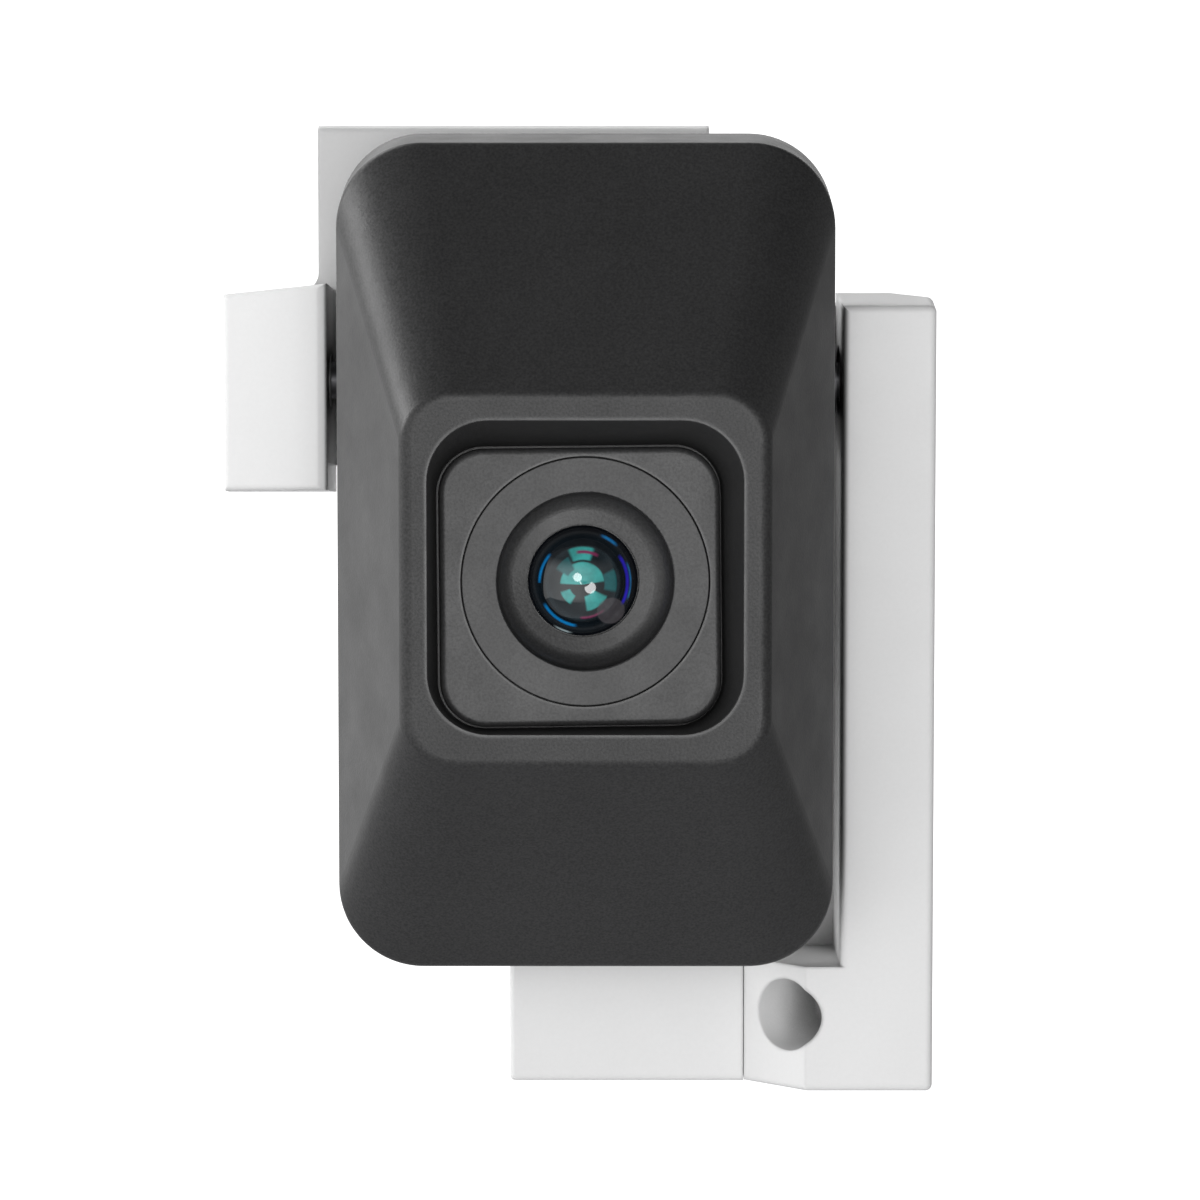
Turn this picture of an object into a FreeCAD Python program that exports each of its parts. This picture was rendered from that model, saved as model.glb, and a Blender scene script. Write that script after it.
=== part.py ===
"""Pan tilt camera mount: a black camera head that tilts in a white yoke, which pans on a wall plate.

Frame: +Z up, +X to the right of someone facing the lens, -Y out of the wall towards that person.
The origin is the centre of the wall plate's rear face. A depth is a distance in front of that face,
so a depth of 29 lies at Y = -29. Sizes are in millimetres and angles in degrees.
"""
import FreeCAD, Part
import os
import re
import Sketcher
from FreeCAD import Placement, Rotation, Vector

SIZES = {
    # wall plate and pan hinge
    "wall_half_width": 14.0, "wall_half_height": 20.0, "wall_front": 3.0, "wall_corner": 3.0,
    "wall_hole_radius": 1.7, "wall_hole_x": 10.0, "wall_hole_z": 16.0,
    "pan_depth": 10.0, "lug_radius": 5.0, "lug_inside": 7.5, "lug_outside": 11.5,
    "knuckle_radius": 4.2, "knuckle_half_height": 6.95, "pan_pin_radius": 2.0,
    "running_gap": 0.05, "pan_bush_outer": 3.0, "pan_washer_outer": 4.4,
    "pan_head_radius": 3.6, "pan_head_height": 2.4, "pan_nut_flats": 7.0, "pan_nut_height": 3.0,
    "pan_hex_flats": 3.0, "pan_hex_deep": 1.5, "pan_head_bevel": 0.4, "pan_pin_tail": 0.6,
    # white yoke
    "plate_rear": 17.0, "tray_floor": 19.5, "frame_front": 29.0,
    "plate_left": -21.6, "plate_top": 36.95, "plate_top_right": 9.9, "plate_shoulder": 22.6,
    "plate_right": 24.3, "plate_bottom": -39.5, "plate_waist": -17.0, "plate_waist_low": -22.0,
    "plate_foot_left": -5.9, "plate_foot_high": -30.5,
    "ear_inner_front": -20.7, "ear_inner_back": -20.3, "ear_front": 27.0, "ear_ridge": -21.45,
    "ear_left": -29.05, "ear_left_depth": 24.3, "ear_top": 25.2, "ear_bottom": 8.6, "ear_fillet": 1.5,
    "ear_top_fall": 0.19, "ear_side_fall": 0.077, "ear_bottom_fall": 0.15, "ear_spare": 2.0,
    "arm_inner_front": 20.5, "arm_inner_back": 20.15, "arm_right": 27.93, "arm_top": 23.65,
    "arm_rear_flat": 24.5, "arm_side_depth": 23.0, "foot_top": -29.9, "foot_bottom": -40.15,
    "foot_left": 12.8, "foot_left_depth": 24.8, "foot_fold": 17.65,
    "eye_radius": 2.95, "eye_x": 16.3, "eye_depth": 27.6, "eye_z": -34.05,
    "eye_turn": 41.0, "eye_reach": 7.0,
    "cover_left": -6.2, "cover_front": 24.6, "cover_top": -30.0, "cover_bottom": -40.2, "seam": 0.05,
    "edge_round": 0.45, "ridge_round": 0.3, "arm_edge_round": 0.55,
    "window_half_width": 7.0, "window_low": -22.0, "window_high": -12.0,
    # tilt hinge
    "tilt_depth": 23.2, "tilt_z": 17.0, "tilt_pin_radius": 1.5, "tilt_bush_outer": 2.1,
    "tilt_bush_length": 2.8, "tilt_pin_inner": 15.6, "lug_block_inner": 14.8, "lug_block_outer": 19.3,
    "lug_block_round": 3.0, "washer_gap": 0.1, "spring_washer_outer": 2.9,
    # camera head
    "head_half_width": 19.6, "head_half_height": 32.85, "head_z": 4.55, "head_corner": 6.7,
    "head_back": 28.8, "head_edge": 37.0, "face_depth": 52.0, "face_half_width": 14.15,
    "face_half_height": 14.4, "face_z": 4.95, "face_corner": 4.2, "face_round": 1.1, "head_round": 0.7,
    "shell_wall": 1.8, "core_depth": 42.0, "core_half_width": 15.0, "core_half_height": 22.4,
    "core_corner": 4.0, "rear_depth": 26.5, "rear_half_width": 18.2, "rear_half_height": 29.0,
    "rear_corner": 5.6,
    "post_radius": 2.5, "post_x": 14.4, "post_z": 21.5, "post_top": 42.3, "post_bore_depth": 9.0,
    "socket_z": -17.0, "socket_half_width": 4.5, "socket_half_height": 1.65, "socket_length": 6.5,
    "socket_wall": 0.3, "socket_floor": 1.2, "tongue_back": 0.8, "tongue_half_width": 3.3, "tongue_half": 0.35,
    # lens group, in its own frame: w runs out along the lens axis from the plate's face
    "lens_z": 4.2, "lens_depth": 47.4, "lens_up": 6.5, "lens_side": 4.8,
    "mouth_half_width": 12.25, "mouth_half_height": 12.27, "mouth_z": 5.15, "mouth_corner": 4.8,
    "floor_half_width": 11.1, "floor_half_height": 10.95, "floor_u": -0.37, "floor_v": -0.42,
    "floor_corner": 3.7,
    "lens_plate_gap": 0.15, "lens_plate_thick": 1.5, "lens_plate_round": 0.5,
    "bezel_radius": 9.68, "bezel_seam": 0.06, "bezel_bevel": 0.08, "bezel_hub_radius": 7.4,
    "bezel_hub_back": 4.0, "dish_radius": 6.9, "dish_wall": 1.9, "dish_round": 1.6, "dish_lip": 0.12,
    "dish_throat": 4.4, "dish_deep": 2.3,
    "throat_step": 2.75, "throat_clear": 4.85, "housing_hole": 7.5,
    "barrel_front_radius": 4.75, "barrel_front": 2.85, "barrel_radius": 6.0, "barrel_back": 12.0,
    "glass_radius": 4.3, "glass_edge": 2.5, "glass_rise": 1.9, "glass_seat": 3.3,
    "iris_radius": 1.7, "iris_thick": 0.5, "iris_front": 4.9, "rear_glass_radius": 3.0, "rear_glass_front": 7.2,
    "rear_glass_half": 0.9, "holder_half": 7.0, "holder_front": 8.6, "board_front": 13.5,
    "board_half": 12.0, "board_thick": 1.2, "board_hole_at": 10.2, "board_post_radius": 1.7,
    "sensor_half_u": 3.4, "sensor_half_v": 2.8, "sensor_thick": 1.0,
    # small screws
    "screw_radius": 0.95, "screw_head_radius": 1.9, "screw_head_height": 1.3, "screw_hex_flats": 1.6,
    "screw_hex_deep": 0.8, "screw_clearance": 0.15, "screw_proud": 0.2, "bracket_shank": 5.0,
    "cover_shank": 5.5, "bracket_screw_x": 22.3, "cover_screw_z": -35.0, "housing_shank": 9.0,
    "blind_depth": 0.5,
    "board_screw_radius": 0.8, "board_screw_head": 1.6, "board_screw_hole": 1.0,
    "board_screw_head_height": 1.0,
    "board_shank": 5.0, "board_post_end": 3.0,
}
FUNCTIONS = {"sin", "cos"}

doc = FreeCAD.newDocument("PanTiltCameraMount")
sheet = doc.addObject("Spreadsheet::Sheet", "Dimensions")
for row, (alias, size) in enumerate(SIZES.items(), start=1):
    sheet.set("A%d" % row, alias)
    sheet.set("B%d" % row, "%g" % size)
    sheet.setAlias("B%d" % row, alias)
doc.recompute()

parts = []


# ---------------------------------------------------------------- binding to the sheet

def qualified(formula):
    """The formula with each alias written as a cell of the sheet."""
    return re.sub(r"\b[a-z]\w*\b",
                  lambda word: word.group() if word.group() in FUNCTIONS else "Dimensions." + word.group(),
                  str(formula))


def bind(item, prop, formula):
    item.setExpression(prop, qualified(formula))


def measure(formula):
    return float(sheet.evalExpression(qualified(formula)))


# ---------------------------------------------------------------- bodies and sketches

def new_body(label):
    body = doc.addObject("PartDesign::Body", label)
    body.Label = label
    parts.append(body)
    return body


def place(body, x="0", y="0", z="0", turn=None):
    """Puts a body at a bound position, with an optional rotation."""
    body.Placement = Placement(Vector(0, 0, 0), turn or Rotation())
    for axis, formula in zip("xyz", (x, y, z)):
        bind(body, "Placement.Base." + axis, formula)


def sketch_on(body, role, offset="0", tilt=None):
    """A sketch on an origin plane. XZ_Plane reads X and Z and faces out, so its offset is a depth."""
    plane = [item for item in body.Origin.OriginFeatures if item.Role == role][0]
    drawing = body.newObject("Sketcher::SketchObject", "Sketch")
    drawing.AttachmentSupport = [(plane, "")]
    drawing.MapMode = "FlatFace"
    if tilt is not None:
        drawing.AttachmentOffset = tilt
    else:
        bind(drawing, "AttachmentOffset.Base.z", offset)
    return drawing


def pin_point(drawing, element, point, u, v):
    """Holds a point of the sketch at bound coordinates."""
    for kind, formula in (("DistanceX", u), ("DistanceY", v)):
        index = drawing.addConstraint(Sketcher.Constraint(kind, -1, 1, element, point, measure(formula)))
        bind(drawing, "Constraints[%d]" % index, formula)


def polygon(drawing, corners):
    """A closed outline with every corner bound to the sheet."""
    spots = [Vector(measure(u), measure(v), 0) for u, v in corners]
    count = len(spots)
    first = drawing.GeometryCount
    for index in range(count):
        drawing.addGeometry(Part.LineSegment(spots[index], spots[(index + 1) % count]), False)
    for index in range(count):
        following = first + (index + 1) % count
        drawing.addConstraint(Sketcher.Constraint("Coincident", first + index, 2, following, 1))
        pin_point(drawing, first + index, 1, *corners[index])
    return drawing


def rectangle(drawing, left, low, right, high):
    return polygon(drawing, [(left, low), (right, low), (right, high), (left, high)])


def circle(drawing, u, v, radius):
    centre = Vector(measure(u), measure(v), 0)
    element = drawing.addGeometry(Part.Circle(centre, Vector(0, 0, 1), measure(radius)), False)
    pin_point(drawing, element, 3, u, v)
    index = drawing.addConstraint(Sketcher.Constraint("Radius", element, measure(radius)))
    bind(drawing, "Constraints[%d]" % index, radius)
    return drawing


def rounded_rectangle(drawing, u, v, half_width, half_height, corner):
    """Four quarter arcs with bound centres and radius, joined by straight sides."""
    quarter = 1.5707963267948966
    arcs = []
    for turn, (sign_u, sign_v) in enumerate(((1, 1), (-1, 1), (-1, -1), (1, -1))):
        centre_u = "%s%s(%s-%s)" % (u, "+" if sign_u > 0 else "-", half_width, corner)
        centre_v = "%s%s(%s-%s)" % (v, "+" if sign_v > 0 else "-", half_height, corner)
        centre = Vector(measure(centre_u), measure(centre_v), 0)
        ring = Part.Circle(centre, Vector(0, 0, 1), measure(corner))
        arc = drawing.addGeometry(Part.ArcOfCircle(ring, turn * quarter, (turn + 1) * quarter), False)
        pin_point(drawing, arc, 3, centre_u, centre_v)
        index = drawing.addConstraint(Sketcher.Constraint("Radius", arc, measure(corner)))
        bind(drawing, "Constraints[%d]" % index, corner)
        kinds = ("Horizontal", "Vertical") if turn % 2 == 0 else ("Vertical", "Horizontal")
        drawing.addConstraint(Sketcher.Constraint(kinds[0], arc, 3, arc, 1))
        drawing.addConstraint(Sketcher.Constraint(kinds[1], arc, 3, arc, 2))
        arcs.append((arc, drawing.getPoint(arc, 1), drawing.getPoint(arc, 2)))
    for index in range(4):
        arc, _, end = arcs[index]
        following, start, _ = arcs[(index + 1) % 4]
        side = drawing.addGeometry(Part.LineSegment(end, start), False)
        drawing.addConstraint(Sketcher.Constraint("Coincident", arc, 2, side, 1))
        drawing.addConstraint(Sketcher.Constraint("Coincident", side, 2, following, 1))
    return drawing


# ---------------------------------------------------------------- features

def volume_of(body):
    doc.recompute()
    return body.Shape.Volume if not body.Shape.isNull() else 0.0


def pad(body, drawing, length):
    feature = body.newObject("PartDesign::Pad", "Pad")
    feature.Profile = drawing
    bind(feature, "Length", length)
    doc.recompute()
    return feature


def pocket(body, drawing, length):
    """Cuts away from the way the sketch faces, or towards it where that is where the solid is."""
    before = volume_of(body)
    feature = body.newObject("PartDesign::Pocket", "Pocket")
    feature.Profile = drawing
    bind(feature, "Length", length)
    if volume_of(body) > before - 1e-4:
        feature.Reversed = True
    if volume_of(body) > before - 1e-4:
        raise ValueError("a pocket of %s cuts nothing" % body.Label)
    return feature


def revolve(body, corners):
    """Turns a bound outline of (radius, w) corners about the body's own Z axis."""
    drawing = polygon(sketch_on(body, "XZ_Plane"), corners)
    feature = body.newObject("PartDesign::Revolution", "Revolution")
    feature.Profile = drawing
    feature.ReferenceAxis = (drawing, ["V_Axis"])
    feature.Angle = 360
    doc.recompute()
    return feature


def loft(body, kind, sections):
    feature = body.newObject("PartDesign::" + kind, kind)
    feature.Profile = sections[0]
    feature.Sections = sections[1:]
    feature.Ruled = True
    doc.recompute()
    return feature


def cylinder(body, kind, radius, height, spot, turn=None):
    """A PartDesign cylinder that is added to the body or cut from it."""
    feature = body.newObject("PartDesign::" + kind, kind)
    bind(feature, "Radius", radius)
    bind(feature, "Height", height)
    feature.AttachmentOffset = Placement(Vector(*spot), turn or Rotation())
    feature.Placement = Placement(Vector(*spot), turn or Rotation())
    doc.recompute()
    return feature


def round_edges(body, radius, chosen):
    """Fillets the edges that chosen(edge) picks from the body's last feature."""
    doc.recompute()
    base = body.Tip
    names = ["Edge%d" % (index + 1) for index, edge in enumerate(base.Shape.Edges) if chosen(edge)]
    feature = body.newObject("PartDesign::Fillet", "Fillet")
    feature.Base = (base, names)
    bind(feature, "Radius", radius)
    doc.recompute()
    return feature


def ends(edge):
    return edge.Vertexes[0].Point, edge.Vertexes[-1].Point


def lies_at(edge, axis, value):
    """Whether both ends of an edge have this coordinate."""
    return all(abs(point[axis] - value) < 1e-3 for point in ends(edge))


# Rotation that carries a sketch frame's (u, v, w) to (X, Z, out of the wall)
FACING_OUT = Rotation(Vector(1, 0, 0), 90)
# Rotations that carry a body's own Z axis to +X and to the depth direction
ALONG_X = Rotation(Vector(0, 1, 0), 90)
# The lens axis looks up and to the right of straight out
LENS_TILT = Rotation(0, measure("lens_side"), -measure("lens_up"))


def place_in_lens_frame(body):
    place(body, "0", "-lens_depth", "lens_z", FACING_OUT.multiply(LENS_TILT))


def lens_offset(w):
    """A sketch offset, on the XZ plane, that lies at w along the lens axis."""
    centre = Vector(0, measure("lens_z"), measure("lens_depth"))
    return Placement(centre + LENS_TILT.multVec(Vector(0, 0, measure(w))), LENS_TILT)


# ---------------------------------------------------------------- wall plate and pan hinge

def wall_plate():
    body = new_body("wall_plate")
    outline = rounded_rectangle(sketch_on(body, "XZ_Plane"), "0", "0",
                                "wall_half_width", "wall_half_height", "wall_corner")
    pad(body, outline, "wall_front")
    for low in ("lug_inside", "-lug_outside"):
        block = rectangle(sketch_on(body, "XY_Plane", low),
                          "-lug_radius", "-pan_depth", "lug_radius", "-wall_front/2")
        pad(body, block, "lug_outside-lug_inside")
        end = circle(sketch_on(body, "XY_Plane", low), "0", "-pan_depth", "lug_radius")
        pad(body, end, "lug_outside-lug_inside")
    pocket(body, circle(sketch_on(body, "XY_Plane", "lug_outside+1"), "0", "-pan_depth", "pan_pin_radius"),
           "2*lug_outside+2")
    for side in ("-", ""):
        for end in ("-", ""):
            hole = circle(sketch_on(body, "XZ_Plane", "wall_front"),
                          side + "wall_hole_x", end + "wall_hole_z", "wall_hole_radius")
            pocket(body, hole, "wall_front+1")


def pan_pin():
    """Shoulder bolt of the pan hinge: its shank fills both lugs and its socket head is on top."""
    body = new_body("pan_pin")
    low = "-lug_outside-pan_nut_height-pan_pin_tail"
    revolve(body, [("0", low), ("pan_pin_radius", low),
                   ("pan_pin_radius", "lug_outside"), ("pan_head_radius", "lug_outside"),
                   ("pan_head_radius", "lug_outside+pan_head_height-pan_head_bevel"),
                   ("pan_head_radius-pan_head_bevel", "lug_outside+pan_head_height"),
                   ("0", "lug_outside+pan_head_height")])
    socket = sketch_on(body, "XY_Plane", "lug_outside+pan_head_height")
    pocket(body, polygon(socket, hexagon("0", "0", "pan_hex_flats")), "pan_hex_deep")
    place(body, "0", "-pan_depth", "0")


def hexagon(u, v, flats):
    """Corners of a hexagon about (u, v) with this width across the flats."""
    reach = "%s/2/cos(30)" % flats
    return [("%s+%s*cos(%d)" % (u, reach, 60 * step), "%s+%s*sin(%d)" % (v, reach, 60 * step))
            for step in range(6)]


def pan_nut():
    """Locking nut under the lower lug."""
    body = new_body("pan_nut")
    outline = polygon(sketch_on(body, "XY_Plane", "-lug_outside-pan_nut_height"),
                      hexagon("0", "0", "pan_nut_flats"))
    pad(body, outline, "pan_nut_height")
    bore = circle(sketch_on(body, "XY_Plane", "-lug_outside"), "0", "0", "pan_pin_radius")
    pocket(body, bore, "pan_nut_height+1")
    place(body, "0", "-pan_depth", "0")


def ring(label, inner, outer, low, high):
    """A plain bush or washer about the body's own Z axis."""
    body = new_body(label)
    revolve(body, [(inner, low), (outer, low), (outer, high), (inner, high)])
    return body


def pan_hinge_rings():
    for label, low in (("upper_pan_washer", "knuckle_half_height+running_gap"),
                       ("lower_pan_washer", "-lug_inside")):
        body = ring(label, "pan_pin_radius", "pan_washer_outer", low,
                    low + "+lug_inside-knuckle_half_height-running_gap")
        place(body, "0", "-pan_depth", "0")
    bush = ring("pan_bush", "pan_pin_radius+running_gap", "pan_bush_outer",
                "-knuckle_half_height", "knuckle_half_height")
    place(bush, "0", "-pan_depth", "0")


# ---------------------------------------------------------------- white yoke

def left_bracket():
    """Back plate of the yoke, with the left tilt ear in front and the pan knuckle behind."""
    body = new_body("left_bracket")
    tilt_ear(body)
    outline = [("plate_left", "ear_bottom+1"), ("plate_left", "plate_top"), ("plate_top_right", "plate_top"),
               ("plate_top_right", "plate_shoulder"), ("plate_right", "plate_shoulder"),
               ("plate_right", "plate_bottom"), ("plate_foot_left", "plate_bottom"),
               ("plate_foot_left", "plate_foot_high"), ("plate_waist", "plate_waist_low"),
               ("plate_waist", "ear_bottom+1")]
    pad(body, polygon(sketch_on(body, "XZ_Plane", "plate_rear"), outline), "tray_floor-plate_rear")
    ear_root(body)
    round_edges(body, "edge_round", is_plate_edge)
    block = rectangle(sketch_on(body, "XY_Plane", "-knuckle_half_height"),
                      "-knuckle_radius", "-plate_rear-0.5", "knuckle_radius", "-pan_depth")
    pad(body, block, "2*knuckle_half_height")
    end = circle(sketch_on(body, "XY_Plane", "-knuckle_half_height"), "0", "-pan_depth", "knuckle_radius")
    pad(body, end, "2*knuckle_half_height")
    bore = circle(sketch_on(body, "XY_Plane", "knuckle_half_height+1"), "0", "-pan_depth", "pan_bush_outer")
    pocket(body, bore, "2*knuckle_half_height+2")
    window = rectangle(sketch_on(body, "XZ_Plane", "tray_floor+0.5"),
                       "-window_half_width", "window_low", "window_half_width", "window_high")
    pocket(body, window, "tray_floor-plate_rear+1")
    seat = circle(sketch_on(body, "YZ_Plane", "ear_inner_back+0.5"), "-tilt_depth", "tilt_z", "tilt_bush_outer")
    pocket(body, seat, "tilt_bush_length+1.1")
    for u, v in BRACKET_SCREWS + COVER_SCREWS:
        hole = circle(sketch_on(body, "XZ_Plane", "tray_floor+0.5"), u, v, "screw_radius+screw_clearance")
        pocket(body, hole, "tray_floor-plate_rear+1")


def tilt_ear(body):
    """Block with a narrow front, a slanted cheek, and a top and an underside that both fall to the rear."""
    outline = [("ear_inner_back", "-plate_rear"), ("ear_inner_back", "-tray_floor"),
               ("ear_inner_front", "-ear_front"), ("ear_ridge", "-ear_front"),
               ("ear_left", "-ear_left_depth"), ("ear_left", "-plate_rear")]
    pad(body, polygon(sketch_on(body, "XY_Plane", "ear_bottom-ear_spare"), outline),
        "ear_top-ear_bottom+2*ear_spare")
    ridge = (measure("ear_ridge"), -measure("ear_front"))
    lid = Vector(measure("ear_side_fall"), -measure("ear_top_fall"), -1)
    sole = Vector(0, measure("ear_bottom_fall"), 1)
    for height, facing in (("ear_top", lid), ("ear_bottom", sole)):
        spot = Placement(Vector(*ridge, measure(height)), Rotation(Vector(0, 0, 1), facing))
        pocket(body, circle(sketch_on(body, "XY_Plane", tilt=spot), "0", "0", "ear_front"), "4*ear_spare")
    round_edges(body, "edge_round", is_ear_edge)
    round_edges(body, "ridge_round", is_ear_ridge)


def is_ear_edge(edge):
    """Edges of the slanted cheek, apart from the one it shares with the narrow front."""
    first, second = ends(edge)
    cheek = all(on_cheek(point) for point in (first, second))
    ridge = abs(first.x - measure("ear_ridge")) < 0.1 and abs(second.x - measure("ear_ridge")) < 0.1
    return cheek and not ridge


def on_cheek(point):
    """Whether a point lies on the plane from the ridge to the ear's outer side."""
    run = measure("ear_ridge-ear_left")
    along = (measure("ear_ridge") - point.x) / run
    depth = measure("ear_front") - along * measure("ear_front-ear_left_depth")
    return abs(-point.y - depth) < 1e-3


def is_ear_ridge(edge):
    """Upright inner edge of the ear's narrow front."""
    return lies_at(edge, 1, -measure("ear_front")) and lies_at(edge, 0, measure("ear_inner_front"))


def ear_root(body):
    """Concave curve between the plate's left side and the top of the ear."""
    drawing = sketch_on(body, "XZ_Plane", "plate_rear")
    low = measure("ear_top-ear_top_fall*(ear_front-tray_floor)")
    left = measure("plate_left")
    reach = measure("ear_fillet")
    corners = [Vector(left - reach, low, 0), Vector(left - reach, low - 2, 0),
               Vector(left + 1, low - 2, 0), Vector(left + 1, low + reach, 0), Vector(left, low + reach, 0)]
    for index in range(4):
        drawing.addGeometry(Part.LineSegment(corners[index], corners[index + 1]), False)
    middle = Vector(left - reach, low + reach, 0) + Vector(1, -1, 0).normalize() * reach
    drawing.addGeometry(Part.Arc(corners[4], middle, corners[0]), False)
    for element in range(5):
        drawing.addConstraint(Sketcher.Constraint("Block", element))
    pad(body, drawing, "tray_floor-plate_rear")


def is_plate_edge(edge):
    """Front edge of the plate's top."""
    return lies_at(edge, 2, measure("plate_top")) and lies_at(edge, 1, -measure("tray_floor"))


def right_bracket():
    """Right arm of the yoke and the foot under it, with the slanted cheek and its round eye."""
    body = new_body("right_bracket")
    outer = [("arm_right", "-frame_front"), ("arm_right", "-arm_side_depth"), ("arm_rear_flat", "-tray_floor")]
    arm = [("arm_inner_back", "-tray_floor"), ("arm_inner_front", "-frame_front")] + outer
    pad(body, polygon(sketch_on(body, "XY_Plane", "foot_top"), arm), "arm_top-foot_top")
    foot = [("foot_left", "-tray_floor"), ("foot_left", "-foot_left_depth"),
            ("foot_fold", "-frame_front")] + outer
    pad(body, polygon(sketch_on(body, "XY_Plane", "foot_bottom"), foot), "foot_top-foot_bottom")
    round_edges(body, "arm_edge_round", is_right_bracket_edge)
    turn = FACING_OUT.multiply(Rotation(Vector(0, 1, 0), -measure("eye_turn")))
    start = Vector(measure("eye_x"), -measure("eye_depth"), measure("eye_z"))
    inward = turn.multVec(Vector(0, 0, -1)) * measure("eye_reach")
    cylinder(body, "SubtractiveCylinder", "eye_radius", "eye_reach+6", start + inward, turn)
    seat = circle(sketch_on(body, "YZ_Plane", "arm_inner_back-0.5"), "-tilt_depth", "tilt_z", "tilt_bush_outer")
    pocket(body, seat, "tilt_bush_length+1.1")
    for u, v in BRACKET_SCREWS:
        hole = circle(sketch_on(body, "XZ_Plane", "tray_floor"), u, v, "screw_radius")
        pocket(body, hole, "bracket_shank+blind_depth-(tray_floor-plate_rear)")


def is_right_bracket_edge(edge):
    """Front edges, the arm's top and outer side, and the foot's underside; the inner corners stay sharp."""
    first, second = ends(edge)
    front = lies_at(edge, 1, -measure("frame_front"))
    foot_line = lies_at(edge, 2, measure("foot_top"))
    side = lies_at(edge, 0, measure("arm_right"))
    under = lies_at(edge, 2, measure("foot_bottom")) and min(-first.y, -second.y) > measure("arm_side_depth")
    cap = lies_at(edge, 2, measure("arm_top")) and lies_at(edge, 0, measure("arm_right"))
    fold = front and lies_at(edge, 0, measure("foot_fold"))
    return (front and not foot_line and not fold) or (side and -first.y > 28) or under or cap


def lower_cover():
    """Block that closes the foot on the left of the slanted cheek."""
    body = new_body("lower_cover")
    outline = rectangle(sketch_on(body, "XZ_Plane", "tray_floor"),
                        "cover_left", "cover_bottom", "foot_left-seam", "cover_top")
    pad(body, outline, "cover_front-tray_floor")
    round_edges(body, "edge_round", is_cover_edge)
    for u, v in COVER_SCREWS:
        hole = circle(sketch_on(body, "XZ_Plane", "tray_floor"), u, v, "screw_radius")
        pocket(body, hole, "cover_shank+blind_depth-(tray_floor-plate_rear)")


def is_cover_edge(edge):
    front = lies_at(edge, 1, -measure("cover_front"))
    left = lies_at(edge, 0, measure("cover_left"))
    low = lies_at(edge, 2, measure("cover_bottom"))
    return (front and (left or low)) or (left and low)


BRACKET_SCREWS = [("bracket_screw_x", "20.4"), ("bracket_screw_x", "-5"), ("bracket_screw_x", "-27")]
COVER_SCREWS = [("-1.5", "cover_screw_z"), ("8", "cover_screw_z")]


def screw_group(label, spots, seat, shank):
    """Socket-head screws driven outwards from behind: heads behind the seat depth, shanks in front."""
    body = new_body(label)
    for u, v in spots:
        pad(body, circle(sketch_on(body, "XZ_Plane", seat), u, v, "screw_radius"), shank)
        pad(body, circle(sketch_on(body, "XZ_Plane", seat + "-screw_head_height"), u, v, "screw_head_radius"),
            "screw_head_height")
        socket = polygon(sketch_on(body, "XZ_Plane", seat + "-screw_head_height"),
                         hexagon(u, v, "screw_hex_flats"))
        pocket(body, socket, "screw_hex_deep")
    return body


# ---------------------------------------------------------------- tilt hinge

def tilt_hinge():
    for side, sign, wall in (("left", "-", "-ear_inner_back"), ("right", "", "arm_inner_back")):
        outer = "(%s+0.15+tilt_bush_length)" % wall
        start = "-" + outer if sign else "%s-tilt_bush_length" % outer
        bush = ring(side + "_tilt_bush", "tilt_pin_radius+running_gap", "tilt_bush_outer",
                    "0", "tilt_bush_length")
        place(bush, start, "-tilt_depth", "tilt_z", ALONG_X)
        pin = new_body(side + "_trunnion")
        long = "%s-0.4-tilt_pin_inner" % outer
        revolve(pin, [("0", "0"), ("tilt_pin_radius", "0"), ("tilt_pin_radius", long + "-0.3"),
                      ("tilt_pin_radius-0.3", long), ("0", long)])
        turn = Rotation(Vector(0, 1, 0), -90) if sign else ALONG_X
        place(pin, sign + "tilt_pin_inner", "-tilt_depth", "tilt_z", turn)
    washer = ring("tilt_spring_washer", "tilt_pin_radius", "spring_washer_outer", "0",
                  "arm_inner_back-lug_block_outer-2*washer_gap")
    place(washer, "lug_block_outer+washer_gap", "-tilt_depth", "tilt_z", ALONG_X)


# ---------------------------------------------------------------- camera head

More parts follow.
